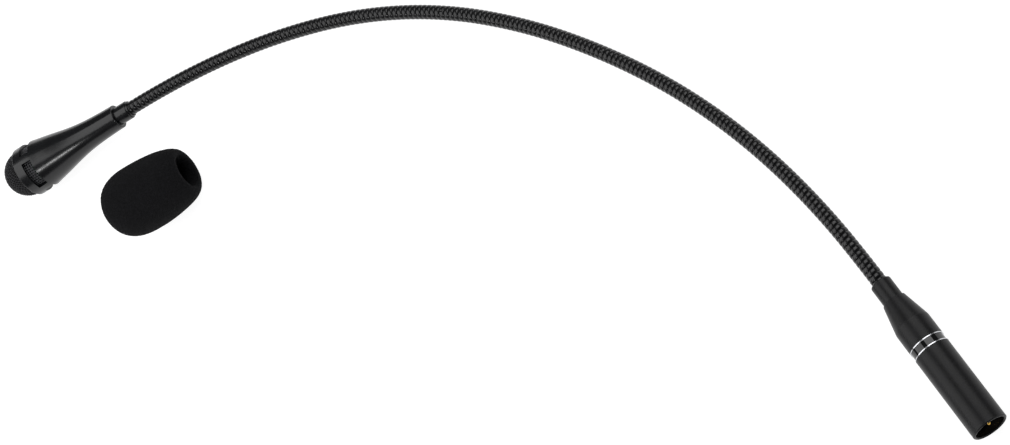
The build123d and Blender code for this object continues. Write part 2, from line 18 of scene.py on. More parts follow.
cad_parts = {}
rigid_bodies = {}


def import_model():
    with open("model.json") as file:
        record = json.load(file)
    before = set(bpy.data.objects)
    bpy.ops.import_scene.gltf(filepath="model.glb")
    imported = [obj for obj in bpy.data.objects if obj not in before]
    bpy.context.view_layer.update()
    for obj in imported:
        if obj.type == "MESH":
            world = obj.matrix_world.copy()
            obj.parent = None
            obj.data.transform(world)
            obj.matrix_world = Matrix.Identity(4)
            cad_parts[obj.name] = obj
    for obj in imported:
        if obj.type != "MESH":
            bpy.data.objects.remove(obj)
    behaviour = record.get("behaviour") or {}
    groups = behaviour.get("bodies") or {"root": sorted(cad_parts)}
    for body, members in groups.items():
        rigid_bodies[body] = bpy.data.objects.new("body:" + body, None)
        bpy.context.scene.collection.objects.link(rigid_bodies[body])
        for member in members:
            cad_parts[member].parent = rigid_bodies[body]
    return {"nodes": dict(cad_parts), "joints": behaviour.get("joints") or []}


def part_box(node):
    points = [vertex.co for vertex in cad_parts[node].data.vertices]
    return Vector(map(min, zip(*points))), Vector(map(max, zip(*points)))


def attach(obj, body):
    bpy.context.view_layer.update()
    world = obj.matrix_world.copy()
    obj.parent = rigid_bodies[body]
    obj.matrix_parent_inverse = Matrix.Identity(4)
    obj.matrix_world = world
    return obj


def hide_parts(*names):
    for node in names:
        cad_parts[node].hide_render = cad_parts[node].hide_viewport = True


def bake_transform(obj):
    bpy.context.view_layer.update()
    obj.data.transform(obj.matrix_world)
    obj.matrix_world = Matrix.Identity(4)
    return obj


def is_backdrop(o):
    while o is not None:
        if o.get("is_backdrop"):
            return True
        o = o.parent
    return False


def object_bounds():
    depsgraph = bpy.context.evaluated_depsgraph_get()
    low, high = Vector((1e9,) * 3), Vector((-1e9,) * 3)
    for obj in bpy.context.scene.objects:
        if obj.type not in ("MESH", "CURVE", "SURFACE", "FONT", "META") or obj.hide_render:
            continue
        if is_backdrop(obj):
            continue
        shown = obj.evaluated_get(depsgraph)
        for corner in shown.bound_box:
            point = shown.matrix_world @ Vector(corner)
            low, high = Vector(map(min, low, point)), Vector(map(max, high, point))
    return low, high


MM = 0.001
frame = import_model()
nodes = frame["nodes"]
scene = bpy.context.scene
cad_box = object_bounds()

# %% [markdown]
# ## Camera
#
# The microphone is long and thin, so the camera stands over a metre away with a long lens and
# looks down on it at about sixty degrees. It is rolled, so that the neck arches across the
# picture. Three directions at right angles make its matrix: Blender's camera looks along its
# own -Z, with +Y up in the picture.

# %% Camera
CAMERA_PLACE = Vector((-0.35399, -0.17468, 1.14582))
CAMERA_AHEAD = Vector((0.45612, 0.23625, -0.85799)).normalized()
CAMERA_UP = Vector((0.73603, -0.64206, 0.21450)).normalized()
LENS_MM = 89.1

camera_data = bpy.data.cameras.new("camera")
camera_data.lens = LENS_MM
camera = bpy.data.objects.new("camera", camera_data)
camera_right = CAMERA_AHEAD.cross(CAMERA_UP)
turned = Matrix((camera_right, CAMERA_UP, -CAMERA_AHEAD)).transposed()
camera.matrix_world = Matrix.Translation(CAMERA_PLACE) @ turned.to_4x4()
scene.collection.objects.link(camera)
scene.camera = camera
print("camera: lens", LENS_MM, "mm, height", round(CAMERA_PLACE.z, 3), "m")

# %% [markdown]
# ## Studio light
#
# Black things are drawn by what they reflect. Two big soft panels stand left and right of the
# neck and lean over it, and each gives a broad grey band along every round part, with a dark
# line between the two. A small bright strip far off draws the thin light line on the front of
# the housing. The room itself stays dim, so the black stays black between them, and only the
# camera sees a white backdrop. Each light's power comes from how bright its face should look:
# power = pi * area * brightness.

# %% Studio light
def soft_panel(name, place, target, size, brightness):
    """A rectangular area light at a place, facing a target, as bright as its face should look."""
    light = bpy.data.lights.new(name, "AREA")
    light.shape = "RECTANGLE"
    light.size, light.size_y = size
    light.energy = math.pi * size[0] * size[1] * brightness
    panel = bpy.data.objects.new(name, light)
    facing = (Vector(target) - Vector(place)).to_track_quat("-Z", "Y").to_matrix().to_4x4()
    panel.matrix_world = Matrix.Translation(place) @ facing
    panel.visible_camera = False
    scene.collection.objects.link(panel)
    return panel


soft_panel("left_panel", (0.62, 0.89, 0.87), (0.62, 0.02, 0.0), (1.15, 1.32), 2.15)
soft_panel("right_panel", (0.75, -0.60, 0.985), (0.75, 0.085, 0.0), (1.0, 1.1), 2.7)
soft_panel("line_strip", (-0.395, 0.552, 0.787), (0.485, 0.33, 0.0), (0.3, 0.12), 25.0)

ROOM_BRIGHTNESS = 0.12
room = bpy.data.worlds.new("room")
room.use_nodes = True
background = room.node_tree.nodes["Background"]
background.inputs["Color"].default_value = (1.0, 1.0, 1.0, 1.0)
seen = room.node_tree.nodes.new("ShaderNodeLightPath").outputs["Is Camera Ray"]
strength = room.node_tree.nodes.new("ShaderNodeMapRange")
strength.inputs["To Min"].default_value = ROOM_BRIGHTNESS
room.node_tree.links.new(seen, strength.inputs["Value"])
room.node_tree.links.new(strength.outputs["Result"], background.inputs["Strength"])
scene.world = room
scene.view_settings.view_transform = "Standard"
print("lights:", len(bpy.data.lights))

# %% [markdown]
# ## Materials: the tools
#
# Every finish is a small node tree on a Principled shader. Two helpers are enough: one turns
# an sRGB hex colour into the linear colour that sockets take, and one adds a node, with its
# settings and its sockets' values or links. Patterns read Object coordinates, which are metres
# on these pieces, so a grain of 0.4 mm is a noise with a scale of 1 / 0.0004.

# %% Material tools
def srgb(colour):
    """An sRGB hex colour as linear red, green, blue and alpha."""
    parts = [int(colour[i:i + 2], 16) / 255 for i in (1, 3, 5)]
    return [c / 12.92 if c <= 0.04045 else ((c + 0.055) / 1.055) ** 2.4 for c in parts] + [1.0]


def add(tree, kind, sockets=None, **settings):
    """Adds a node: settings are its properties, sockets its inputs' values or what feeds them."""
    made = tree.nodes.new(kind)
    for name, value in settings.items():
        setattr(made, name, value)
    for socket, value in (sockets or {}).items():
        if isinstance(value, bpy.types.NodeSocket):
            tree.links.new(value, made.inputs[socket])
        else:
            made.inputs[socket].default_value = value
    return made


def per_mm(size_mm):
    """The texture scale that gives a pattern features of this size."""
    return 1 / (size_mm * MM)


def new_surface(name, **values):
    """A material, its tree, its shader with some values set, and its Object coordinates."""
    material = bpy.data.materials.new(name)
    material.use_nodes = True
    tree = material.node_tree
    shader = tree.nodes["Principled BSDF"]
    for socket, value in values.items():
        shader.inputs[socket.replace("_", " ")].default_value = value
    place = add(tree, "ShaderNodeTexCoord").outputs["Object"]
    return material, tree, shader, place


def ramp_between(tree, factor, low, high, start=0.3, end=0.7):
    """Colours from low to high as a factor goes from start to end."""
    ramp = add(tree, "ShaderNodeValToRGB", {"Fac": factor})
    ramp.color_ramp.elements[0].position, ramp.color_ramp.elements[0].color = start, srgb(low)
    ramp.color_ramp.elements[1].position, ramp.color_ramp.elements[1].color = end, srgb(high)
    return ramp.outputs["Color"]


def grained(name, colours, roughness, grain_mm, grain_height_mm, blotch_mm=9.0, **values):
    """A surface with a fine grain in its height, and slow changes of colour and roughness."""
    material, tree, shader, place = new_surface(name, **values)
    blotch = add(tree, "ShaderNodeTexNoise", {"Vector": place, "Scale": per_mm(blotch_mm),
                                              "Detail": 4.0}).outputs["Fac"]
    grain = add(tree, "ShaderNodeTexNoise", {"Vector": place, "Scale": per_mm(grain_mm),
                                             "Detail": 2.0}).outputs["Fac"]
    spread = add(tree, "ShaderNodeMapRange", {"Value": blotch, "From Min": 0.3, "From Max": 0.7,
                                              "To Min": roughness[0], "To Max": roughness[1]})
    bump = add(tree, "ShaderNodeBump", {"Height": grain, "Strength": 1.0,
                                        "Distance": grain_height_mm * MM})
    tree.links.new(ramp_between(tree, blotch, *colours), shader.inputs["Base Color"])
    tree.links.new(spread.outputs["Result"], shader.inputs["Roughness"])
    tree.links.new(bump.outputs["Normal"], shader.inputs["Normal"])
    return material


# %% [markdown]
# ## Materials: coats, plastics and rubber
#
# The shells are aluminium with a satin black powder coat. Powder melts as it is baked and
# levels out, which leaves a faint orange peel about 0.5 mm across, and that spreads each
# reflection into a soft band. The plug's barrel and boot have a satin lacquer, duller and of a
# finer grain. Moulded polyamide and epoxy are duller again, and rubber is the dullest. Thin
# black anodising follows the metal under it, so it keeps a little metallic sheen.

# %% Coats, plastics and rubber
coat_black = grained("aluminium_black_powder_coat", ("#0B0B0D", "#111214"), (0.19, 0.25),
                     0.5, 0.004, IOR=1.43)
barrel_black = grained("aluminium_black_satin_lacquer", ("#0C0C0D", "#121214"), (0.36, 0.42),
                       0.4, 0.006, Specular_IOR_Level=0.22)
polyamide_black = grained("polyamide_black_moulded", ("#0E0E0F", "#151516"), (0.42, 0.55),
                          0.3, 0.012, IOR=1.53)
epoxy_black = grained("epoxy_black_moulded", ("#17171A", "#202024"), (0.5, 0.6), 0.15, 0.006)
rubber_black = grained("rubber_black_moulded", ("#121212", "#1B1B1B"), (0.7, 0.85), 0.4, 0.015)
sheath_black = grained("pvc_black_extruded", ("#161616", "#202020"), (0.45, 0.55), 0.6, 0.01)
wire_red = grained("pvc_red_extruded", ("#6E1410", "#8A1D16"), (0.4, 0.5), 0.5, 0.006)
resistor_tan = grained("lacquer_tan_dipped", ("#A88C62", "#C2A77C"), (0.35, 0.5), 0.4, 0.02)
anodised_black = grained("aluminium_black_anodised", ("#1E1E21", "#2A2A2E"), (0.35, 0.45),
                         0.2, 0.003, Metallic=0.6)

# %% [markdown]
# ## Materials: polished and turned metal
#
# The ring between barrel and boot is lacquered and polished like a piano, so it shows sharp
# reflections with only a little haze. The two thin rings beside it were turned bright on a
# lathe, and the fine tool lines run round them. Gold on the contacts is thin over polished
# brass, with faint rub marks along the way that the socket slides. Metals keep the default
# IOR, because their colour already says how they reflect.

# %% Polished and turned metal
lacquer_polished = grained("lacquer_black_polished", ("#060607", "#0A0A0B"), (0.04, 0.09),
                           1.5, 0.001, IOR=1.5)


def rubbed_metal(name, colours, roughness, line_mm, stretch, line_height_mm):
    """Metal with fine lines: the stretch says how long they are along each axis."""
    material, tree, shader, place = new_surface(name, Metallic=1.0)
    drawn_out = add(tree, "ShaderNodeMapping", {"Vector": place, "Scale": stretch})
    lines = add(tree, "ShaderNodeTexNoise", {"Vector": drawn_out.outputs["Vector"],
                                             "Scale": per_mm(line_mm), "Detail": 3.0})
    spread = add(tree, "ShaderNodeMapRange", {"Value": lines.outputs["Fac"], "From Min": 0.3,
                                              "From Max": 0.7, "To Min": roughness[0],
                                              "To Max": roughness[1]})
    bump = add(tree, "ShaderNodeBump", {"Height": lines.outputs["Fac"], "Strength": 0.8,
                                        "Distance": line_height_mm * MM})
    tree.links.new(ramp_between(tree, lines.outputs["Fac"], *colours),
                   shader.inputs["Base Color"])
    tree.links.new(spread.outputs["Result"], shader.inputs["Roughness"])
    tree.links.new(bump.outputs["Normal"], shader.inputs["Normal"])
    return material


ROUND_THE_PLUG = (1.0, 0.04, 0.04)
ALONG_THE_PLUG = (0.06, 1.0, 1.0)
EVERY_WAY = (1.0, 1.0, 1.0)
bright_turned = rubbed_metal("aluminium_bright_turned", ("#B9BABD", "#D6D7DA"), (0.16, 0.3),
                             0.12, ROUND_THE_PLUG, 0.002)
gold_plate = rubbed_metal("brass_gold_plated", ("#D9A441", "#F2CB6E"), (0.14, 0.28),
                          0.25, ALONG_THE_PLUG, 0.002)
bronze_spring = rubbed_metal("phosphor_bronze_rolled", ("#A9763F", "#C79557"), (0.3, 0.45),
                             0.2, ALONG_THE_PLUG, 0.003)
steel_plated = rubbed_metal("steel_zinc_plated", ("#7C7D80", "#A5A6A9"), (0.28, 0.45),
                            0.3, EVERY_WAY, 0.004)
print("materials so far:", len(bpy.data.materials))

# %% [markdown]
# ## Material: circuit board
#
# Glass cloth in epoxy under a green solder mask. The cloth's weave, about 0.5 mm, shows
# faintly through the mask as a change of tone and height. Two crossed wave textures make it.

# %% Circuit board
WEAVE_MM = 0.5
WAVE_UNIT = math.pi / 10  # a wave texture with a scale of 1 repeats after this many metres

laminate, tree, shader, place = new_surface("laminate_green_solder_mask", Roughness=0.32)
warp, weft = [add(tree, "ShaderNodeTexWave", {"Vector": place, "Distortion": 0.6,
                                              "Scale": WAVE_UNIT * per_mm(WEAVE_MM)},
                  bands_direction=way).outputs["Fac"] for way in ("X", "Y")]
weave = add(tree, "ShaderNodeMath", {0: warp, 1: weft}, operation="MULTIPLY").outputs["Value"]
weave_bump = add(tree, "ShaderNodeBump", {"Height": weave, "Strength": 0.6,
                                          "Distance": 0.01 * MM})
tree.links.new(ramp_between(tree, weave, "#0B3A22", "#14573A", 0.0, 1.0),
               shader.inputs["Base Color"])
tree.links.new(weave_bump.outputs["Normal"], shader.inputs["Normal"])
print("circuit board weave:", WEAVE_MM, "mm")

# %% [markdown]
# ## Materials: wire, and the two foams
#
# The neck's wire is steel with a semi-gloss black lacquer, a little smoother in the patches
# that hands have rubbed. The dome's wire is painted and duller, with small dry spots. The
# sleeve behind the slots is a paler grey, painted light so that it shows in their shade. Foam
# is nearly all holes: light goes in and little comes back, so it is very dark and has next to
# no gloss. A Voronoi pattern gives the cells, with painted shade in their holes, a little
# darker than the walls. They are drawn coarser than real foam looks, so that they show.

# %% Wire and foam
wire_lacquer = grained("steel_wire_black_lacquer", ("#0A0A0B", "#121214"), (0.2, 0.28),
                       0.35, 0.008, blotch_mm=2.5, IOR=1.42)
mesh_paint = grained("steel_mesh_black_painted", ("#222224", "#303033"), (0.42, 0.52),
                     0.25, 0.01, blotch_mm=1.5, Specular_IOR_Level=0.25)
# A paler grey than the dome's paint: painted light, so that the sleeve shows in the shade of the
# slots.
sleeve_mesh_painted_light = grained("steel_mesh_painted_light_in_slot_shade", ("#38383B", "#4C4C50"), (0.4, 0.5),
                    0.25, 0.01, blotch_mm=1.5)


def foamed(name, colours, cell_mm, depth_mm):
    """Open-cell foam: cell walls round holes that get painted shade, and no gloss."""
    material, tree, shader, place = new_surface(name, Roughness=1.0, Specular_IOR_Level=0.1)
    cells = add(tree, "ShaderNodeTexVoronoi", {"Vector": place, "Scale": per_mm(cell_mm)},
                feature="DISTANCE_TO_EDGE").outputs["Distance"]
    holes = add(tree, "ShaderNodeMapRange", {"Value": cells, "From Max": 0.25,
                                             "To Min": 1.0, "To Max": 0.0}).outputs["Result"]
    bump = add(tree, "ShaderNodeBump", {"Height": holes, "Strength": 0.7,
                                        "Distance": depth_mm * MM})
    # The holes get the darker colour: painted shade in the pores.
    tree.links.new(ramp_between(tree, holes, *colours, 0.0, 1.0), shader.inputs["Base Color"])
    tree.links.new(bump.outputs["Normal"], shader.inputs["Normal"])
    return material


# The darker of each foam's two colours is painted shade in its holes.
screen_foam = foamed("polyurethane_foam_black", ("#09090A", "#1B1B1D"), 0.7, 0.3)
filter_foam = foamed("filter_foam_black", ("#0A0A0A", "#181818"), 0.5, 0.1)
print("materials:", len(bpy.data.materials))

# %% [markdown]
# ## Finishes of the CAD parts
#
# Parts whose shape is right already stay as they are and only get their finish: every
# material slot of the node's object is filled. The dictionary reads as a shopping list.

# %% Finishes of the CAD parts
FINISHES = {
    coat_black: ["neck_collar", "head_housing"],
    barrel_black: ["plug_barrel", "boot"],
    polyamide_black: ["xlr_insert", "board_sleeve"],
    gold_plate: ["pin_1", "pin_2", "pin_3", "diaphragm"],
    bronze_spring: ["ground_spring", "back_plate"],
    steel_plated: ["insert_screw", "boot_screws", "neck_ferrule_bottom", "neck_ferrule_top",
                   "ferrule_nut_bottom", "ferrule_nut_top"],
    lacquer_polished: ["trim_ring"],
    bright_turned: ["edge_ring_front", "edge_ring_rear", "capsule", "capsule_front"],
    anodised_black: ["grille_ring", "diaphragm_spacer"],
    laminate: ["circuit_board", "fet_board"],
    epoxy_black: ["capacitors", "transistor"],
    resistor_tan: ["resistors"],
    wire_red: ["pin_wires", "capsule_wires"],
    sheath_black: [name for name in nodes if name.startswith("cable_")],
    wire_lacquer: [name for name in nodes if name.startswith("neck_link_")],
    mesh_paint: ["dome_grille"],
    sleeve_mesh_painted_light: ["slot_mesh"],
    filter_foam: ["dome_foam"],
    rubber_black: ["capsule_holder"],
    screen_foam: ["windscreen"],
}
for finish, names in FINISHES.items():
    for name in names:
        slots = nodes[name].data.materials
        slots.clear()
        slots.append(finish)
unfinished = set(nodes) - {name for names in FINISHES.values() for name in names}
print("finished CAD parts:", len(nodes) - len(unfinished), "left over:", sorted(unfinished))

# %% [markdown]
# ## Measuring the frame
#
# New pieces take their places from the frame. The extent of a node along a direction gives
# both of its ends, and from that comes a local frame for anything turned: the origin on the
# axis at the near end, with +Z ahead. That is the axis which Blender's spin likes best.

# %% Measuring helpers
UP = Vector((0.0, 0.0, 1.0))


def extent(name, way):
    """The lowest and highest distance of a node's surface along a direction."""
    along = [vertex.co.dot(way) for vertex in nodes[name].data.vertices]
    return min(along), max(along)


def turned_frame(name, ahead):
    """The local frame of a turned node: +Z ahead, +X up, the origin on the axis at its rear."""
    ahead = ahead.normalized()
    up = (UP - ahead * UP.dot(ahead)).normalized()
    left = ahead.cross(up)
    rear = extent(name, ahead)[0]
    origin = ahead * rear + up * (sum(extent(name, up)) / 2) + left * (sum(extent(name, left)) / 2)
    return Matrix.Translation(origin) @ Matrix((up, left, ahead)).transposed().to_4x4()


def middle(name):
    """The centre of a node's box."""
    low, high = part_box(name)
    return (low + high) / 2


def finished(name, bm, material):
    """Turns a bmesh into an object of the scene at the origin, with its faces pointing out."""
    bmesh.ops.recalc_face_normals(bm, faces=bm.faces)
    mesh = bpy.data.meshes.new(name)
    bm.to_mesh(mesh)
    bm.free()
    mesh.materials.append(material)
    mesh.polygons.foreach_set("use_smooth", [True] * len(mesh.polygons))
    piece = bpy.data.objects.new(name, mesh)
    scene.collection.objects.link(piece)
    return piece


head_ahead = (middle("grille_ring") - middle("ferrule_nut_top")).normalized()
print("head points along", [round(part, 4) for part in head_ahead])

# %% [markdown]
# ## The line of the neck
#
# The neck is a chain of plain arcs that meet at the pivots of its joints. Where an arc leaves
# in a known direction and reaches a known point, its direction there is the first one mirrored
# in the chord, so the line follows from pivot to pivot. The first arc leaves the boot along
# +X, and the last ends pointing along the head. These two are half as long as the others.

# %% Arcs of the neck
neck_joints = [joint for joint in frame["joints"] if joint["type"] == "hinge"]
pivots = [Vector(joint["pos_m"]) for joint in neck_joints]
chain = [neck_joints[0]["parent"]] + [joint["child"] for joint in neck_joints]
neck_foot = Vector((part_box("boot")[1].x, 0.0, 0.0))


def arc_to(start, heading, end):
    """The arc that leaves start along a heading and reaches end."""
    chord = end - start
    along = chord.normalized()
    leaving = (2 * heading.dot(along) * along - heading).normalized()
    turn = heading.angle(leaving)
    radius = chord.length / 2 / math.sin(turn / 2)
    axis = heading.cross(leaving).normalized()
    return {"leaving": leaving, "turn": turn, "length": radius * turn, "axis": axis,
            "centre": start + axis.cross(heading) * radius}


arcs = []
start, heading = neck_foot, Vector((1.0, 0.0, 0.0))
for pivot in pivots:
    arcs.append(arc_to(start, heading, pivot))
    start, heading = pivot, arcs[-1]["leaving"]
LINK_LENGTH = arcs[1]["length"]
last_turn = heading.angle(head_ahead)
last_chord = LINK_LENGTH / last_turn * math.sin(last_turn / 2)
arcs.append(arc_to(start, heading, start + (heading + head_ahead).normalized() * last_chord))
neck_length = sum(arc["length"] for arc in arcs)
print("neck:", len(arcs), "arcs,", round(neck_length / MM, 1), "mm, link", LINK_LENGTH / MM)

# %% [markdown]
# A station is a frame that slides along this line and never twists about it: each arc turns it
# about the arc's own axis. A straight piece is bent by giving each of its points the station
# at its height. Past both ends the stations go straight on, into the boot and the collar.

# %% Stations along the neck
first_station = Matrix.Translation(neck_foot) @ Matrix(
    (UP, Vector((1.0, 0.0, 0.0)).cross(UP), Vector((1.0, 0.0, 0.0)))).transposed().to_4x4()


def swing(arc, angle):
    """The motion round an arc's centre by an angle."""
    about = Matrix.Rotation(angle, 4, arc["axis"])
    return Matrix.Translation(arc["centre"]) @ about @ Matrix.Translation(-arc["centre"])


arc_stations = [first_station]
for arc in arcs:
    arc_stations.append(swing(arc, arc["turn"]) @ arc_stations[-1])


def station(distance):
    """The frame at a distance along the neck from the boot."""
    if distance < 0:
        return arc_stations[0] @ Matrix.Translation((0, 0, distance))
    for arc, begin in zip(arcs, arc_stations):
        if distance <= arc["length"]:
            return swing(arc, arc["turn"] * distance / arc["length"]) @ begin
        distance -= arc["length"]
    return arc_stations[-1] @ Matrix.Translation((0, 0, distance))


def bend_along_neck(bm):
    """Bends a bmesh that stands straight along +Z onto the line of the neck."""
    for vertex in bm.verts:
        across = Vector((vertex.co.x, vertex.co.y, 0.0))
        vertex.co = station(vertex.co.z) @ across


print("neck ends at", [round(part / MM, 1) for part in station(neck_length).translation])

# %% [markdown]
# ## The wound wire of the neck
#
# A gooseneck is a spring of round wire with a second wire wound tight into its groove. What
# shows is a close row of rounded ridges with a dark line between them, and each ridge catches
# the light in its own small patch. A spiral is what spin is for: a small oval goes round the
# axis and up a little with each step. A link holds a whole number of steps, and each wire
# starts at the angle that its height gives, so it runs on from the one before without a
# break. The neck is made in ten lengths of outer and inner wire, each from the middle of one
# link to the middle of the next, with a joint at its centre.

# %% Wound wire
NECK_RADIUS = 4.14 * MM
RIDGE_DEPTH = 0.42 * MM
RIDGE_WIDTH = 1.52 * MM
TURNS_PER_LINK = 17.5
STEPS_PER_TURN = 28
RIDGE_SIDES = 10
HIDDEN_TURNS = 3
BEND_REACH = 25 * MM
CORE_RADIUS = 3.3 * MM
CORE_WALL = 1.55 * MM
CORE_SIDES = 24
CORE_CUTS = 24

steps_per_link = round(TURNS_PER_LINK * STEPS_PER_TURN)
step_height = LINK_LENGTH / steps_per_link
neck_bodies = list(zip(chain, chain[1:]))


def wound_wire(begin, steps):
    """A bmesh of the outer wire from a height on, standing straight along +Z."""
    bm = bmesh.new()
    ring = bmesh.ops.create_circle(bm, segments=RIDGE_SIDES, radius=1.0)["verts"]
    bmesh.ops.scale(bm, verts=ring, vec=(RIDGE_DEPTH, RIDGE_WIDTH, 1.0))
    bmesh.ops.rotate(bm, verts=ring, matrix=Matrix.Rotation(math.pi / 2, 3, "X"))
    bmesh.ops.translate(bm, verts=ring, vec=(NECK_RADIUS - RIDGE_DEPTH, 0.0, begin))
    phase = 2 * math.pi * begin / step_height / STEPS_PER_TURN
    bmesh.ops.rotate(bm, verts=ring, matrix=Matrix.Rotation(phase, 3, "Z"))
    bmesh.ops.spin(bm, geom=bm.edges[:], axis=(0, 0, 1), cent=(0, 0, 0),
                   dvec=(0, 0, step_height), angle=2 * math.pi * steps / STEPS_PER_TURN,
                   steps=steps, use_merge=False)
    open_ends = [edge for edge in bm.edges if edge.is_boundary]
    bmesh.ops.holes_fill(bm, edges=open_ends, sides=RIDGE_SIDES)
    return bm


def inner_wire(begin, end):
    """A bmesh of the inner winding, a tube that closes the grooves and holds the cable."""
    bm = bmesh.new()
    bmesh.ops.create_cone(bm, cap_ends=False, segments=CORE_SIDES, radius1=CORE_RADIUS,
                          radius2=CORE_RADIUS, depth=end - begin)
    rails = [edge for edge in bm.edges if edge.verts[0].co.z * edge.verts[1].co.z < 0]
    bmesh.ops.subdivide_edges(bm, edges=rails, cuts=CORE_CUTS)
    bmesh.ops.recalc_face_normals(bm, faces=bm.faces)
    bmesh.ops.solidify(bm, geom=bm.faces[:], thickness=CORE_WALL)
    bmesh.ops.translate(bm, verts=bm.verts, vec=(0.0, 0.0, (begin + end) / 2))
    return bm


for index, (lower, upper) in enumerate(neck_bodies):
    first_step = index * steps_per_link
    last_step = first_step + steps_per_link
    if index == 0:
        first_step -= HIDDEN_TURNS * STEPS_PER_TURN
    if index == len(neck_bodies) - 1:
        last_step += HIDDEN_TURNS * STEPS_PER_TURN
    begin, end = first_step * step_height, last_step * step_height
    pivot_at = (index + 0.5) * LINK_LENGTH
    replaced = [f"neck_link_{index:02d}"]
    if index == len(neck_bodies) - 1:
        replaced.append(f"neck_link_{index + 1:02d}")
    outer, inner = wound_wire(begin, last_step - first_step), inner_wire(begin, end)
    bend_along_neck(outer)
    bend_along_neck(inner)
    for kind, bm in (("wire", outer), ("core", inner)):
        piece = finished(f"gooseneck_{kind}_{index + 1:02d}", bm, wire_lacquer)
        station(pivot_at - BEND_REACH).translation
        station(pivot_at + BEND_REACH).translation
        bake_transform(piece)
        if kind == "wire":
            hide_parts(*replaced)
            wire_faces = len(piece.data.polygons)
print("neck:", len(neck_bodies), "pieces, pitch", round(LINK_LENGTH / TURNS_PER_LINK / MM, 3),
      "mm, faces in the last wire piece", wire_faces)

# %% [markdown]
# ## Woven wire
#
# The dome is plain-woven steel wire that was pressed into shape: each wire goes over one and
# under the next. A curve with a round bevel is the natural way to make a wire, and one curve
# object can hold all of them. The weave is drawn on flat cloth first, as two sets of lines
# whose heights swap at every crossing, and a function then lays the cloth on the dome. It
# keeps areas equal, so the weave is as dense at the rim as at the tip. The wires have only
# four sides, because there are many hundreds of crossings, and smooth shading rounds them.
# The weave is drawn coarser than the real cloth looks, so that it shows.

# %% Woven wire helper
WEAVE_PITCH = 1.5 * MM
MESH_WIRE_RADIUS = 0.24 * MM
WEAVE_LIFT = 0.22 * MM


def wire_mesh_piece(name, lines, material, closed_lines=()):
    """One mesh of four-sided wires along lists of points."""
    curve = bpy.data.curves.new(name, "CURVE")
    curve.dimensions = "3D"
    curve.bevel_depth = MESH_WIRE_RADIUS
    curve.bevel_resolution = 0
    curve.use_fill_caps = True
    for line, cyclic in [(line, False) for line in lines] + [(line, True) for line in closed_lines]:
        spline = curve.splines.new("POLY")
        spline.points.add(len(line) - 1)
        for point, spot in zip(spline.points, line):
            point.co = (*spot, 1.0)
        spline.use_cyclic_u = cyclic
    drawn = bpy.data.objects.new(name + "_curve", curve)
    scene.collection.objects.link(drawn)
    settled = drawn.evaluated_get(bpy.context.evaluated_depsgraph_get())
    mesh = bpy.data.meshes.new_from_object(settled)
    bpy.data.objects.remove(drawn)
    mesh.name = name
    mesh.materials.clear()
    mesh.materials.append(material)
    mesh.polygons.foreach_set("use_smooth", [True] * len(mesh.polygons))
    piece = bpy.data.objects.new(name, mesh)
    scene.collection.objects.link(piece)
    return piece


def weave_height(along, line, sign):
    """How far a wire stands off the cloth's middle at a distance along it."""
    return sign * WEAVE_LIFT * math.cos(math.pi * (along / WEAVE_PITCH - 0.5 + line))


# %% Dome
DOME_RADIUS = 14.1 * MM
DOME_SKIRT = 3.0 * MM

dome_tip = extent("dome_grille", head_ahead)[1]
dome_frame = turned_frame("grille_ring", head_ahead)
dome_frame.translation += head_ahead * (dome_tip - DOME_RADIUS
                                        - extent("grille_ring", head_ahead)[0])
cloth_radius = DOME_RADIUS - MESH_WIRE_RADIUS - WEAVE_LIFT
equator = cloth_radius * math.sqrt(2)


def on_dome(across, along, height):
    """Where a point of the flat cloth lies on the dome and its straight skirt."""
    reach = math.hypot(across, along)
    lean = 2 * math.asin(min(reach, equator) / (2 * cloth_radius))
    around = math.atan2(along, across)
    out = (cloth_radius + height) * math.sin(lean)
    ahead = (cloth_radius + height) * math.cos(lean) - max(0.0, reach - equator)
    return dome_frame @ Vector((out * math.cos(around), out * math.sin(around), ahead))


def dome_lines():
    """The wires both ways, each to the foot of the skirt."""
    reach = equator + DOME_SKIRT
    half_count = int(reach / WEAVE_PITCH)
    lines = []
    for line in range(-half_count, half_count):
        across = (line + 0.5) * WEAVE_PITCH
        half_steps = int(math.sqrt(max(reach ** 2 - across ** 2, 0.0)) / (WEAVE_PITCH / 2))
        stops = [step * WEAVE_PITCH / 2 for step in range(-half_steps, half_steps + 1)]
        if len(stops) > 2:
            lines.append([on_dome(across, s, weave_height(s, line, 1)) for s in stops])
            lines.append([on_dome(s, across, weave_height(s, line, -1)) for s in stops])
    return lines


woven_dome = wire_mesh_piece("woven_dome", dome_lines(), mesh_paint)
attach(woven_dome, "head")
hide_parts("dome_grille")
print("dome:", len(woven_dome.data.polygons), "faces")

# %% [markdown]
# ## The sleeve behind the slots
#
# Wire of the same thickness, woven flat and rolled into a sleeve. Its hoops are closed lines
# and its other wires run along the head. An even number of wires goes round, so the weave
# closes on itself.

# %% Slot sleeve
sleeve_frame = turned_frame("slot_mesh", head_ahead)
sleeve_rear, sleeve_front = extent("slot_mesh", head_ahead)
sleeve_outer = (extent("slot_mesh", UP)[1] - extent("slot_mesh", UP)[0]) / 2
sleeve_radius = sleeve_outer - MESH_WIRE_RADIUS - WEAVE_LIFT
sleeve_length = sleeve_front - sleeve_rear
staves = 2 * round(math.pi * sleeve_radius / WEAVE_PITCH)
hoops = int(sleeve_length / WEAVE_PITCH)


def on_sleeve(around, along, height):
    """Where a point of the cloth lies on the sleeve; around counts wires."""
    angle = 2 * math.pi * around / staves
    out = sleeve_radius + height
    return sleeve_frame @ Vector((out * math.cos(angle), out * math.sin(angle), along))


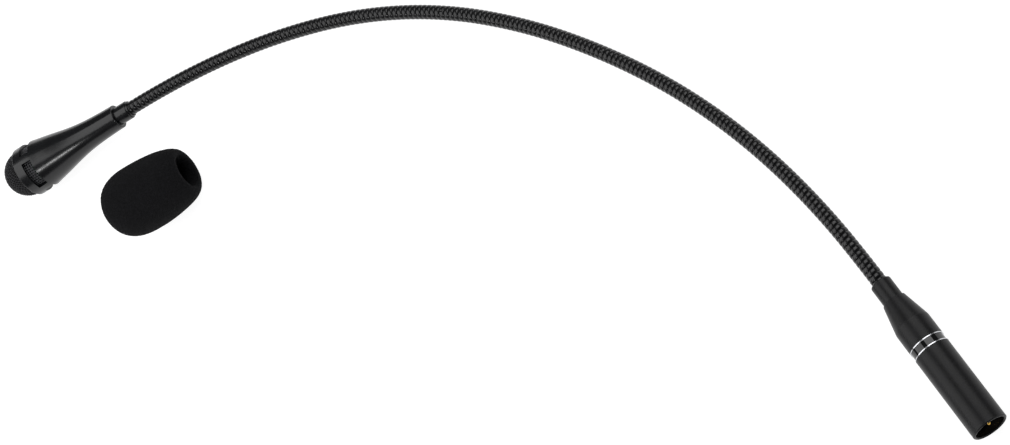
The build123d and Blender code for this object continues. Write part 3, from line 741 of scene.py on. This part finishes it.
hoop_lines = [[on_sleeve(step / 2, (hoop + 0.5) * WEAVE_PITCH,
                         weave_height(step / 2 * WEAVE_PITCH, hoop, -1))
               for step in range(2 * staves)] for hoop in range(hoops)]
stave_lines = [[on_sleeve(stave + 0.5, step * WEAVE_PITCH / 2,
                          weave_height(step * WEAVE_PITCH / 2, stave, 1))
                for step in range(2 * hoops + 1)] for stave in range(staves)]
# The sleeve's paler grey is painted light against the shade of the slots.
woven_sleeve = wire_mesh_piece("woven_sleeve", stave_lines, sleeve_mesh_painted_light, hoop_lines)
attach(woven_sleeve, "head")
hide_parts("slot_mesh")
print("sleeve:", staves, "wires along,", hoops, "hoops,", len(woven_sleeve.data.polygons), "faces")

# %% [markdown]
# ## The foam windscreen
#
# It is one lump of open-cell foam, cut and heat-shaped to an egg, with a round mouth that
# stretches over the head and a hollow behind it. A profile from the tip, over the outside,
# round the soft rim and back through the hollow is spun once round, which closes it into one
# solid with a real wall. Bezier segments keep the profile smooth with few numbers. A little
# noise then roughens the skin and makes the egg very slightly uneven, as cut foam is.

# %% Foam windscreen
screen_joint = next(joint for joint in frame["joints"] if joint["type"] == "slide")
screen_ahead = Vector(screen_joint["axis"]).normalized()
screen_frame = turned_frame("windscreen", screen_ahead)
screen_rear, screen_front = extent("windscreen", screen_ahead)
SCREEN_LENGTH = screen_front - screen_rear
SCREEN_RADIUS = 20.25 * MM
WIDEST_AT = 34.0 * MM
RIM_CREST = 11.7 * MM
MOUTH_RADIUS = 9.5 * MM
RIM_DEPTH = 3.2 * MM
MOUTH_DEPTH = 9.0 * MM
CAVITY_RADIUS = 13.4 * MM
CAVITY_WIDEST_AT = 27.0 * MM
END_WALL = 6.5 * MM
FULLNESS = 0.69  # 0.55 would be a plain ellipse
CAVITY_FULLNESS = 0.6
SIDE_HANDLE = 20.0 * MM
RIM_HANDLE = 4.8 * MM
LIP_HANDLE = 0.7 * MM
SCREEN_SIDES = 210
cavity_end = SCREEN_LENGTH - END_WALL
nose_length = SCREEN_LENGTH - WIDEST_AT
cavity_nose = cavity_end - CAVITY_WIDEST_AT

# each segment: start, its handle, the end's handle and end, as radius and distance ahead, and
# then a count of points
PROFILE = (
    ((0.0, SCREEN_LENGTH), (FULLNESS * SCREEN_RADIUS, SCREEN_LENGTH),
     (SCREEN_RADIUS, WIDEST_AT + FULLNESS * nose_length), (SCREEN_RADIUS, WIDEST_AT), 60),
    ((SCREEN_RADIUS, WIDEST_AT), (SCREEN_RADIUS, WIDEST_AT - SIDE_HANDLE),
     (RIM_CREST + RIM_HANDLE, 0.0), (RIM_CREST, 0.0), 66),
    ((RIM_CREST, 0.0), (MOUTH_RADIUS + LIP_HANDLE, 0.0),
     (MOUTH_RADIUS, RIM_DEPTH / 3), (MOUTH_RADIUS, RIM_DEPTH), 8),
    ((MOUTH_RADIUS, RIM_DEPTH), (MOUTH_RADIUS, MOUTH_DEPTH),
     (CAVITY_RADIUS, MOUTH_DEPTH), (CAVITY_RADIUS, CAVITY_WIDEST_AT), 36),
    ((CAVITY_RADIUS, CAVITY_WIDEST_AT),
     (CAVITY_RADIUS, CAVITY_WIDEST_AT + CAVITY_FULLNESS * cavity_nose),
     (CAVITY_FULLNESS * CAVITY_RADIUS, cavity_end), (0.0, cavity_end), 36),
)

bm = bmesh.new()
outline = []
for *knots, count in PROFILE:
    line = interpolate_bezier(*[Vector((out, 0.0, ahead)) for out, ahead in knots], count)
    outline += line if not outline else line[1:]
corners = [bm.verts.new(spot) for spot in outline]
profile_edges = [bm.edges.new(pair) for pair in zip(corners, corners[1:])]
bmesh.ops.spin(bm, geom=corners + profile_edges, axis=(0, 0, 1), cent=(0, 0, 0),
               angle=2 * math.pi, steps=SCREEN_SIDES, use_merge=True)
bmesh.ops.remove_doubles(bm, verts=bm.verts, dist=0.002 * MM)
bmesh.ops.recalc_face_normals(bm, faces=bm.faces)
bm.normal_update()

SKIN_MM, SKIN_DEPTH = 0.9, 0.16 * MM
LUMP_MM, LUMP_DEPTH = 11.0, 0.12 * MM
for vertex in bm.verts:
    pores = noise.noise(vertex.co * per_mm(SKIN_MM))
    lumps = noise.noise(vertex.co * per_mm(LUMP_MM))
    vertex.co += vertex.normal * (pores * SKIN_DEPTH + lumps * LUMP_DEPTH)
bmesh.ops.transform(bm, matrix=screen_frame, verts=bm.verts)
foam_screen = finished("foam_windscreen", bm, screen_foam)
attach(foam_screen, "windscreen")
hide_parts("windscreen")
print("windscreen:", round(SCREEN_LENGTH / MM, 1), "mm long,", len(foam_screen.data.polygons),
      "faces")

# %% [markdown]
# ## Floor
#
# A white acrylic sheet lit from below, as on a light table, so hardly any shadow shows. It is
# a little uneven in tone. Its height is the lowest point of the frame, where the object rests.

# %% Floor
FLOOR_HALF = 4.0
FLOOR_MIDDLE = (0.27, 0.16)
FLOOR_GLOW = 0.9

sheet_white, tree, shader, place = new_surface("acrylic_white_matt", Roughness=0.85,
                                               Emission_Strength=FLOOR_GLOW)
mottle = add(tree, "ShaderNodeTexNoise", {"Vector": place, "Scale": per_mm(3.0)})
tree.links.new(ramp_between(tree, mottle.outputs["Fac"], "#8C8C8D", "#949494"),
               shader.inputs["Base Color"])
shader.inputs["Emission Color"].default_value = (1.0, 1.0, 1.0, 1.0)
bm = bmesh.new()
bmesh.ops.create_grid(bm, x_segments=8, y_segments=8, size=FLOOR_HALF)
bmesh.ops.translate(bm, verts=bm.verts, vec=(*FLOOR_MIDDLE, cad_box[0][2]))
floor = finished("floor", bm, sheet_white)
floor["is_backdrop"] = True
print("floor at", round(cad_box[0][2] / MM, 2), "mm")

# %% [markdown]
# ## Sizes and the last step
#
# The new pieces have to stay inside the box of the CAD model, so both boxes are written down.

# %% Sizes and finish
visual_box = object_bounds()
for label, box in (("cad", cad_box), ("visual", visual_box)):
    print(label, "box in mm:", [round((high - low) / MM, 2) for low, high in zip(*box)])
